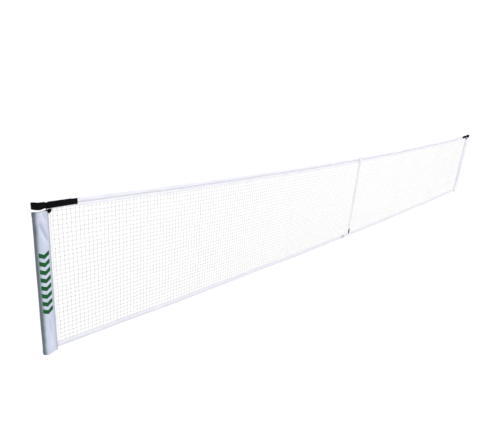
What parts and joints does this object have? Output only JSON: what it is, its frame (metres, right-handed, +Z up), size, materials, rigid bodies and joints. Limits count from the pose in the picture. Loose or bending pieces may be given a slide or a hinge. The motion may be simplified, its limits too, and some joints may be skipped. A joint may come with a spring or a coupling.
{
  "type": "portable court net",
  "caption": "Long knotted-mesh court net with taped edges, post sleeves at both ends, black corner straps and a rod pocket at the centre; it folds in half.",
  "frame": {"origin": "on the left post's axis at the foot of the left post sleeve", "axes": "+X along the net to the right sleeve, +Y from the front face to the back, +Z up"},
  "size_m": [6.708, 0.043, 0.8764],
  "materials": {
    "mesh_cord": "white knotted twine",
    "white_tape": "white woven polyester binding, stitched",
    "inner_cord": "braided polyester cord",
    "sleeve_cloth": "pale coated nylon, soft sheen, with a green printed pattern",
    "black_webbing": "ribbed black webbing",
    "hook_and_loop": "matt black hook and loop tape",
    "pocket_webbing": "off-white woven webbing",
    "fibreglass_rod": "pultruded glass fibre rod",
    "black_plastic": "moulded cap",
    "black_rubber": "moulded tip",
    "grey_webbing": "grey woven patch"
  },
  "bodies": {
    "left_half": {"net_mesh_left": "mesh_cord", "top_tape_left": "white_tape", "bottom_tape_left": "white_tape", "headline_cord_left": "inner_cord", "foot_cord_left": "inner_cord", "side_tape_left": "white_tape", "post_sleeve_left": "sleeve_cloth", "sleeve_top_hem_left": "sleeve_cloth", "sleeve_bottom_hem_left": "sleeve_cloth", "post_loop_left": "black_webbing", "corner_strap_left": "black_webbing", "strap_loop_pad_left": "hook_and_loop", "corner_tab_left": "black_webbing", "pocket_back": "pocket_webbing", "pocket_front": "pocket_webbing", "foot_patch": "grey_webbing"},
    "right_half": {"net_mesh_right": "mesh_cord", "top_tape_right": "white_tape", "bottom_tape_right": "white_tape", "headline_cord_right": "inner_cord", "foot_cord_right": "inner_cord", "side_tape_right": "white_tape", "post_sleeve_right": "sleeve_cloth", "sleeve_top_hem_right": "sleeve_cloth", "sleeve_bottom_hem_right": "sleeve_cloth", "post_loop_right": "black_webbing", "corner_strap_right": "black_webbing", "strap_loop_pad_right": "hook_and_loop", "corner_tab_right": "black_webbing"},
    "rod": {"centre_rod": "fibreglass_rod", "rod_cap": "black_plastic", "rod_tip": "black_rubber"},
    "left_tail": {"strap_tail_left": "black_webbing", "tail_hook_pad_left": "hook_and_loop"},
    "right_tail": {"strap_tail_right": "black_webbing", "tail_hook_pad_right": "hook_and_loop"}
  },
  "joints": [
    {"name": "centre_fold", "type": "hinge", "parent": "left_half", "child": "right_half", "pos_m": [3.35035, 0.00525, 0.4], "axis": [0, 0, 1], "range_deg": [0, 170]},
    {"name": "rod_slide", "type": "slide", "parent": "left_half", "child": "rod", "axis": [0, 0, -1], "range_m": [0, 0.6]},
    {"name": "left_tail_peel", "type": "hinge", "parent": "left_half", "child": "left_tail", "pos_m": [0.0635, -0.00845, 0.83], "axis": [0, 0, -1], "range_deg": [0, 120]},
    {"name": "right_tail_peel", "type": "hinge", "parent": "right_half", "child": "right_tail", "pos_m": [6.6015, -0.00845, 0.83], "axis": [0, 0, 1], "range_deg": [0, 120]}
  ]
}
